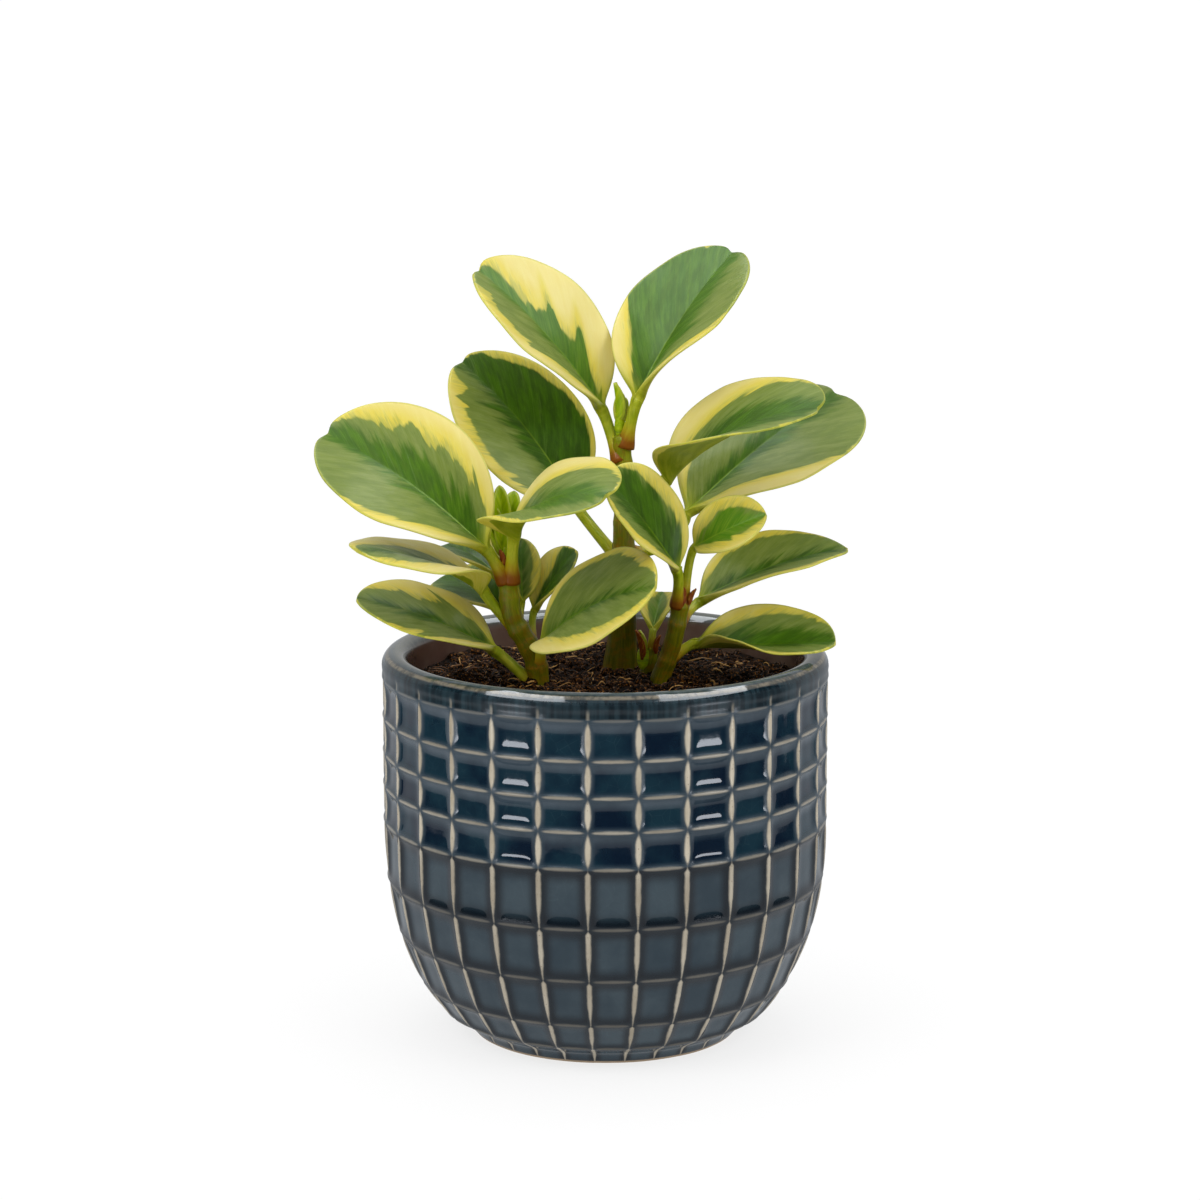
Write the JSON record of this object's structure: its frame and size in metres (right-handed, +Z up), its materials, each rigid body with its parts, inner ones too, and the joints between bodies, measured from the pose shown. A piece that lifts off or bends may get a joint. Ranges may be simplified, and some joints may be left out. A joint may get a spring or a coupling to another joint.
{
  "type": "potted variegated baby rubber plant",
  "caption": "Leafy variegated houseplant with fleshy spoon-shaped leaves, standing in a round glazed planter with a raised net pattern.",
  "frame": {"origin": "centre of the planter's flat underside, on the planter's axis", "axes": "+Z up along the planter's axis, +X to the right and -Y towards the viewer as the picture shows the plant"},
  "size_m": [0.1715, 0.1394, 0.2442],
  "materials": {
    "glaze": "glossy blue-grey glaze that breaks to cream on the ridges",
    "potting_mix": "dark fibrous potting mix",
    "stem": "smooth olive-brown, reddish at the joints",
    "leaf": "satin, green with cream-yellow margins",
    "bud": "satin, bright green"
  },
  "bodies": {
    "root": {"pot": "glaze", "soil": "potting_mix", "stem_central": "stem", "stem_left": "stem", "stem_right": "stem", "stem_side_shoot": "stem", "leaf_top_left": "leaf", "leaf_top_right": "leaf", "leaf_upper_left": "leaf", "leaf_right_up_front": "leaf", "leaf_right_up_back": "leaf", "leaf_left_big": "leaf", "leaf_left_inner": "leaf", "leaf_left_mid": "leaf", "leaf_left_low": "leaf", "leaf_front_low": "leaf", "leaf_inner_small": "leaf", "leaf_inner_narrow": "leaf", "leaf_back_left_mid": "leaf", "leaf_back_left_low": "leaf", "leaf_mid_front": "leaf", "leaf_right_small": "leaf", "leaf_right_mid": "leaf", "leaf_right_low": "leaf", "leaf_side_low": "leaf", "bud_central": "bud", "bud_left": "bud", "bud_right": "bud", "bud_side": "bud"}
  },
  "joints": []
}
